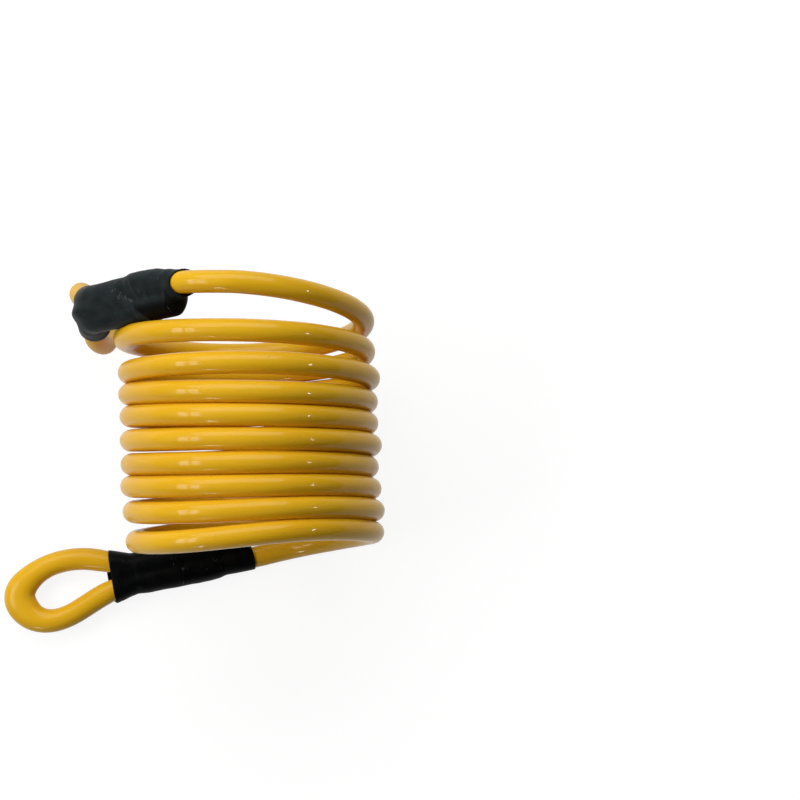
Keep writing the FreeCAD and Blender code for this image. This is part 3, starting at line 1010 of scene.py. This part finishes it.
def shade_sheen_and_scuff_marks(finish, place):
    """Painted shade where the upper sleeve faces the coil, then its scuff marks and a painted
    reflection along its crease.
    """
    along, across = (
        finish.node("ShaderNodeSeparateXYZ", {}, {0: place}, axis) for axis in ("X", "Y")
    )
    # Painted shade: black on the side of the ferrule that faces the coil, away from the light.
    slant = along + across * SHADE_SLANT
    painted_shade = across.step(*SHADE_BEYOND) * (1 - slant.step(*SHADE_UP_TO))
    from_line = (along - BAND_MIDDLE) * BAND_ALONG + across * BAND_ACROSS
    band = from_line.near_zero(*BAND_SQUARE) * across.near_zero(*BAND_REACH_SQUARE)
    fine = finish.noise(finish.unrolled((0.7, 0.7, 0.7)), 1.0, 3, 0.7).step(0.50, 0.64)
    # A faint pale line along the crease is a painted reflection.
    fold = along + across * CREASE_SLANT - CREASE_MIDDLE
    crease = fold.near_zero(*CREASE_SQUARE) * across.near_zero(*CREASE_REACH_SQUARE)
    return painted_shade, band * fine * 0.8 + crease * 0.15


print("the black side ends %.1f mm from the mouth" % SHADE_UP_TO[1])

# %% Black heat-shrink
# The pale grey of the scuff marks, and of the painted reflection along the upper sleeve's crease.
SCUFF_AND_REFLECTION_GREY = (0.16, 0.17, 0.18, 1)
# The black of the painted shade on the upper sleeve.
PAINTED_SHADE_BLACK = (0.002, 0.002, 0.002, 1)


def black_shrink(name, dark, pale, shaded_and_scuffed=False):
    """The sleeve's plastic, between two blacks, with the painted shade, painted crease reflection and
    scuff marks of the upper one when asked for.
    """
    finish = Finish(name)
    place = finish.unrolled()
    drawn = finish.noise(finish.unrolled((0.06, 1, 1)), 1.4, 2)
    crumple = finish.noise(place, 0.16, 3)
    scuff_area = finish.noise(place, 0.09, 1).step(0.54, 0.66)
    scuff_lines = finish.noise(finish.unrolled((1.0, 0.25, 0.6)), 0.9, 4, 0.7).step(0.60, 0.70)
    scuff_marks_and_crease_reflection = scuff_area * scuff_lines
    colour = finish.mix(crumple.step(0.3, 0.7), dark, pale)
    if shaded_and_scuffed:
        painted_shade, more_scuffs_and_crease_reflection = shade_sheen_and_scuff_marks(finish, place)
        # The upper sleeve's side that faces the coil is painted black as painted shade.
        colour = finish.mix(painted_shade, colour, PAINTED_SHADE_BLACK)
        scuff_marks_and_crease_reflection = scuff_marks_and_crease_reflection + more_scuffs_and_crease_reflection
    # Pale scuff marks, and on the upper sleeve a painted reflection along its crease.
    colour = finish.mix(scuff_marks_and_crease_reflection * 0.5, colour, SCUFF_AND_REFLECTION_GREY)
    finish.feed(finish.shader, {
        "Base Color": colour,
        "Roughness": 0.40 + crumple * 0.12 + scuff_marks_and_crease_reflection * 0.2,
        "Specular IOR Level": 0.05,
        "IOR": 1.5,
    })
    finish.bump(drawn * 0.15 + crumple, 0.00016)
    return finish.material


# Two copies of one black plastic: the lower sleeve's is painted nearly pure black as painted shade,
# because it lies in the coil's shade, and the upper one's is painted a paler bluish grey as a painted
# sheen.
shrink = black_shrink(
    "black_shrink", dark=(0.001, 0.0012, 0.0012, 1), pale=(0.003, 0.0035, 0.0035, 1)
)
sheen_and_scuffed_shrink = black_shrink(
    "sheen_and_scuffed_black_shrink", dark=(0.012, 0.016, 0.017, 1), pale=(0.019, 0.025, 0.027, 1), shaded_and_scuffed=True
)
finish_with(shrink, lower_sleeve)
finish_with(sheen_and_scuffed_shrink, upper_sleeve)
print("black finishes:", [m.name for m in (shrink, sheen_and_scuffed_shrink)])

# %% [markdown]
# ## Metal
#
# The rope is galvanised steel wire. The wires in each strand are too fine to model, so a wave
# across the strand stands for them. The ferrule is plain aluminium with the press's dull marks.

# %% Steel and aluminium
DARK_STEEL = (0.42, 0.43, 0.44, 1)
PALE_STEEL = (0.58, 0.59, 0.60, 1)
DARK_ALUMINIUM = (0.62, 0.63, 0.64, 1)
PALE_ALUMINIUM = (0.74, 0.75, 0.76, 1)


def steel_wire():
    """Galvanised wire, with a wave for the single wires of a strand."""
    finish = Finish("steel_wire")
    wires = finish.node(
        "ShaderNodeTexWave", {"bands_direction": "DIAGONAL"},
        {"Vector": finish.unrolled(), "Scale": 0.9, "Distortion": 0.4},
    )
    dull = finish.noise(finish.unrolled(), 0.2, 3)
    finish.feed(finish.shader, {
        "Base Color": finish.mix(dull, DARK_STEEL, PALE_STEEL),
        "Roughness": 0.30 + dull * 0.2,
        "Metallic": 1.0,
    })
    finish.bump(wires, 0.0002)
    return finish.material


def pressed_aluminium():
    """Plain aluminium, unevenly dull."""
    finish = Finish("pressed_aluminium")
    place = finish.node("ShaderNodeTexCoord", {}, {}, output="Object")
    dull = finish.noise(place, 260, 3)
    finish.feed(finish.shader, {
        "Base Color": finish.mix(dull, DARK_ALUMINIUM, PALE_ALUMINIUM),
        "Roughness": 0.35 + dull * 0.2,
        "Metallic": 1.0,
    })
    finish.bump(dull, 0.0002)
    return finish.material


steel = steel_wire()
aluminium = pressed_aluminium()
finish_with(steel, coil_rope, lower_eye_rope, upper_eye_rope)
finish_with(aluminium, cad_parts["lower_ferrule"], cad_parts["upper_ferrule"])
print("metal finishes:", [m.name for m in (steel, aluminium)])

# %% [markdown]
# ## The floor
#
# The photograph is cut out on white. The floor takes a soft shadow, which shows that the cable
# rests on it, and a glow of its own lifts it to white for the camera and for reflections. Its own
# colour is grey, because a white floor would light the undersides, and in the photograph they are
# dark.

# %% Floor
FLOOR_COLOUR = (0.20, 0.20, 0.20, 1)
FLOOR_GLOW = (0.88, 0.88, 0.88, 1)
BLACK = (0, 0, 0, 1)
FLOOR_REACH = 6
FLOOR_BELOW = 0.0002

corners = [(x * FLOOR_REACH, y * FLOOR_REACH, 0) for x, y in ((-1, -1), (1, -1), (1, 1), (-1, 1))]
floor_mesh = bpy.data.meshes.new("floor")
floor_mesh.from_pydata(corners, [], [(0, 1, 2, 3)])
floor = bpy.data.objects.new("floor", floor_mesh)
floor.location.z = -FLOOR_BELOW
bpy.context.scene.collection.objects.link(floor)
floor_finish = Finish("pale_floor")
floor_finish.feed(floor_finish.shader, {
    "Base Color": FLOOR_COLOUR,
    "Roughness": 0.8,
    "Specular IOR Level": 0.1,
    "Emission Color": floor_finish.mix(floor_finish.seen_directly(), BLACK, FLOOR_GLOW),
    "Emission Strength": 1.0,
})
finish_with(floor_finish.material, floor)
print("floor:", [round(s, 1) for s in floor.dimensions])

# %% [markdown]
# ## The light
#
# How bright a lamp looks is a better handle than its watts, because a gloss mirrors about a
# twenty-fifth of that brightness. Most of the light comes from one very large soft panel, high
# behind the coil and a little to the left, so each turn is bright on its far side and falls off to
# brown on its near side, and the right of the coil is darker. A window of two panes at the left
# leaves the pale mark on each turn. A small window at the right and a small low lamp in front leave
# the tiny bright dashes.

# %% Lamps
MIDDLE = Vector((0.0, 0.0, 0.06))


def area_lamp(name, direction, distance, size, brightness):
    """A flat white lamp that faces the coil. A brightness of 1 looks white."""
    data = bpy.data.lights.new(name, "AREA")
    data.shape = "RECTANGLE"
    data.size, data.size_y = size
    data.energy = brightness * math.pi * size[0] * size[1]
    lamp = bpy.data.objects.new(name, data)
    lamp.location = MIDDLE + Vector(direction).normalized() * distance
    lamp.rotation_euler = (MIDDLE - lamp.location).to_track_quat("-Z", "Y").to_euler()
    bpy.context.scene.collection.objects.link(lamp)


for name, direction, distance, size, brightness in (
    ("soft_panel", (-0.12, 0.76, 0.64), 1.5, (2.0, 1.1), 3.0),
    ("window_left_pane", (-0.819, -0.02, 0.574), 1.34, (0.9, 0.23), 7.0),
    ("window_right_pane", (-0.681, -0.02, 0.733), 1.34, (0.9, 0.20), 7.0),
    ("small_window", (0.85, -0.02, 0.53), 1.34, (0.22, 0.07), 30),
    ("low_front", (-0.33, -0.90, 0.22), 1.5, (0.24, 0.08), 40),
):
    area_lamp(name, direction, distance, size, brightness)

# %% [markdown]
# ## The room
#
# The world gives next to no light, so that shaded sides stay dark. Near the horizon the camera and
# the reflections see it as a dark grey. Overhead it is nearly black, because the glossy turns would
# mirror anything lighter as a haze.

# %% World
ROOM_COLOUR = (0.05, 0.05, 0.05, 1)
ROOM_LIGHT = 0.03
BACKDROP_UP_TO = 0.20
DARK_FROM = 0.36

world = bpy.data.worlds.new("world")
bpy.context.scene.world = world
room = Nodes(world, "Background")
direction = room.node("ShaderNodeTexCoord", {}, {}, "Generated")
height = room.node("ShaderNodeSeparateXYZ", {}, {0: direction}, "Z")
backdrop = room.seen_directly() * (1 - height.step(BACKDROP_UP_TO, DARK_FROM))
room.feed(room.shader, {
    "Color": ROOM_COLOUR,
    "Strength": backdrop * (1 - ROOM_LIGHT) + ROOM_LIGHT,
})
bpy.context.scene.view_settings.view_transform = "Standard"
print("light of the room: %.4f of white" % (ROOM_LIGHT * ROOM_COLOUR[0]))
